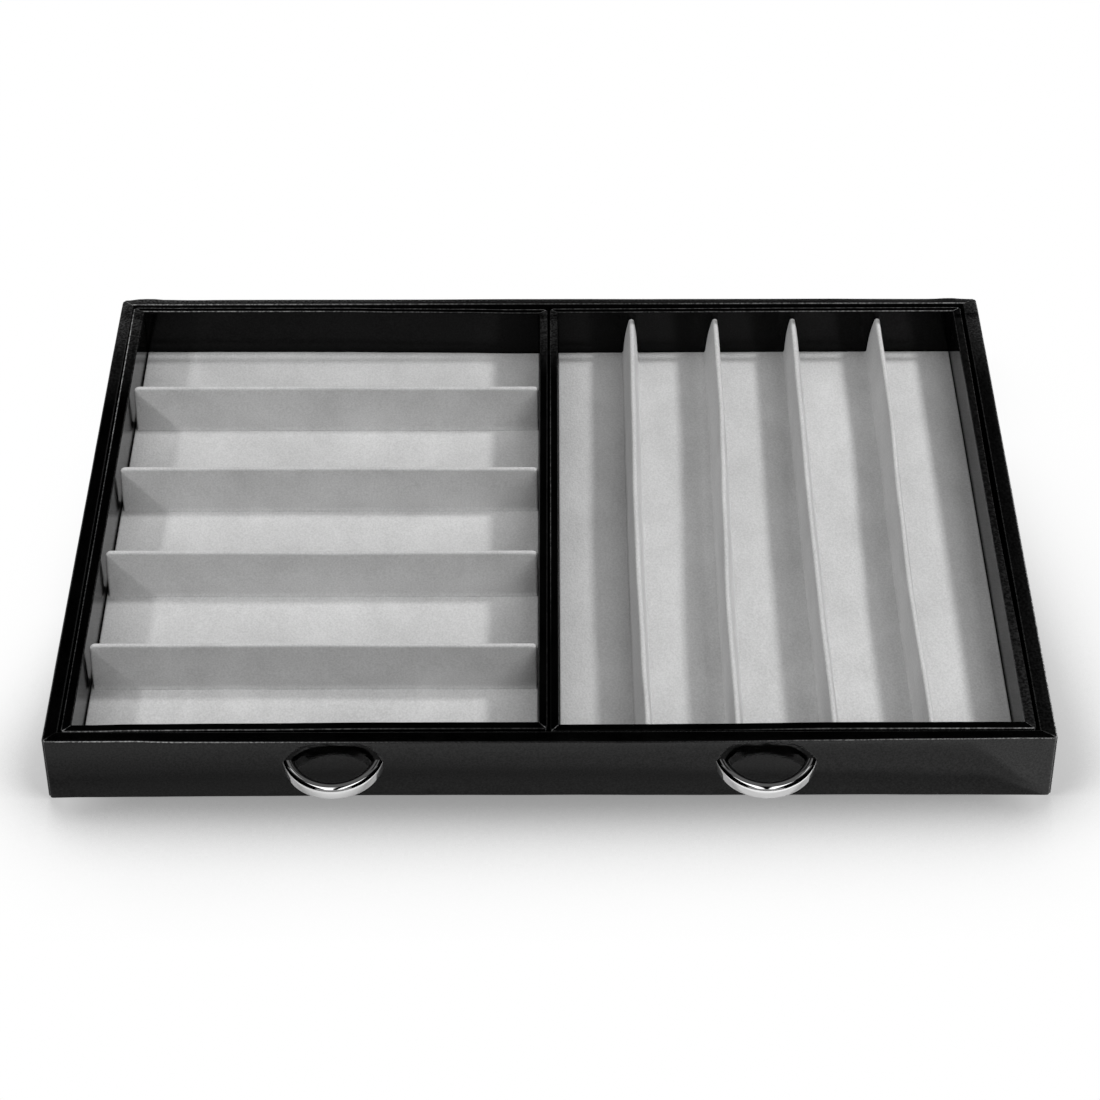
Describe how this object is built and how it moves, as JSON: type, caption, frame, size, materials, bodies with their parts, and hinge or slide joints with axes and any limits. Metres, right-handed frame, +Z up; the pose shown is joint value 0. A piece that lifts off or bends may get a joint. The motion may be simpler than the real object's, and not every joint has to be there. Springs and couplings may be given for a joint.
{
  "type": "cufflink drawer with lift-out trays",
  "caption": "Shallow leather-wrapped cufflink drawer with bow pulls and lift-out velour trays, divided crosswise on the left and lengthwise on the right.",
  "frame": {"origin": "centre of the drawer's underside, on the surface that it stands on", "axes": "+Z up, +X to the drawer's right seen from the front, +Y to its back; the pulls are on the -Y side"},
  "size_m": [0.4, 0.3207, 0.0303],
  "materials": {
    "drawer_leather": "satin black, fine grain",
    "tray_leather": "smooth satin black",
    "board": "raw grey board",
    "velour": "short grey velour nap",
    "lining": "thin black suede cloth",
    "felt": "black felt",
    "backing": "matt black backing paper",
    "pull_chrome": "polished",
    "screw_steel": "zinc plated"
  },
  "bodies": {
    "drawer": {"drawer_underside_felt": "felt", "drawer_bottom_board": "board", "drawer_floor_lining": "lining", "drawer_front_board": "board", "drawer_right_board": "board", "drawer_back_board": "board", "drawer_left_board": "board", "drawer_front_leather": "drawer_leather", "drawer_right_leather": "drawer_leather", "drawer_back_leather": "drawer_leather", "drawer_left_leather": "drawer_leather", "left_pull": "pull_chrome", "right_pull": "pull_chrome", "pull_screws": "screw_steel"},
    "left_tray": {"left_tray_underside_sheet": "backing", "left_tray_base_board": "board", "left_tray_front_board": "board", "left_tray_right_board": "board", "left_tray_back_board": "board", "left_tray_left_board": "board", "left_tray_front_leather": "tray_leather", "left_tray_right_leather": "tray_leather", "left_tray_back_leather": "tray_leather", "left_tray_left_leather": "tray_leather", "left_tray_pad": "velour", "left_tray_divider_1": "velour", "left_tray_divider_2": "velour", "left_tray_divider_3": "velour", "left_tray_divider_4": "velour"},
    "right_tray": {"right_tray_underside_sheet": "backing", "right_tray_base_board": "board", "right_tray_front_board": "board", "right_tray_right_board": "board", "right_tray_back_board": "board", "right_tray_left_board": "board", "right_tray_front_leather": "tray_leather", "right_tray_right_leather": "tray_leather", "right_tray_back_leather": "tray_leather", "right_tray_left_leather": "tray_leather", "right_tray_pad": "velour", "right_tray_divider_1": "velour", "right_tray_divider_2": "velour", "right_tray_divider_3": "velour", "right_tray_divider_4": "velour"}
  },
  "joints": [
    {"name": "left_tray_lift", "type": "slide", "parent": "drawer", "child": "left_tray", "axis": [0, 0, 1], "range_m": [0, 0.05]},
    {"name": "right_tray_lift", "type": "slide", "parent": "drawer", "child": "right_tray", "axis": [0, 0, 1], "range_m": [0, 0.05]}
  ]
}
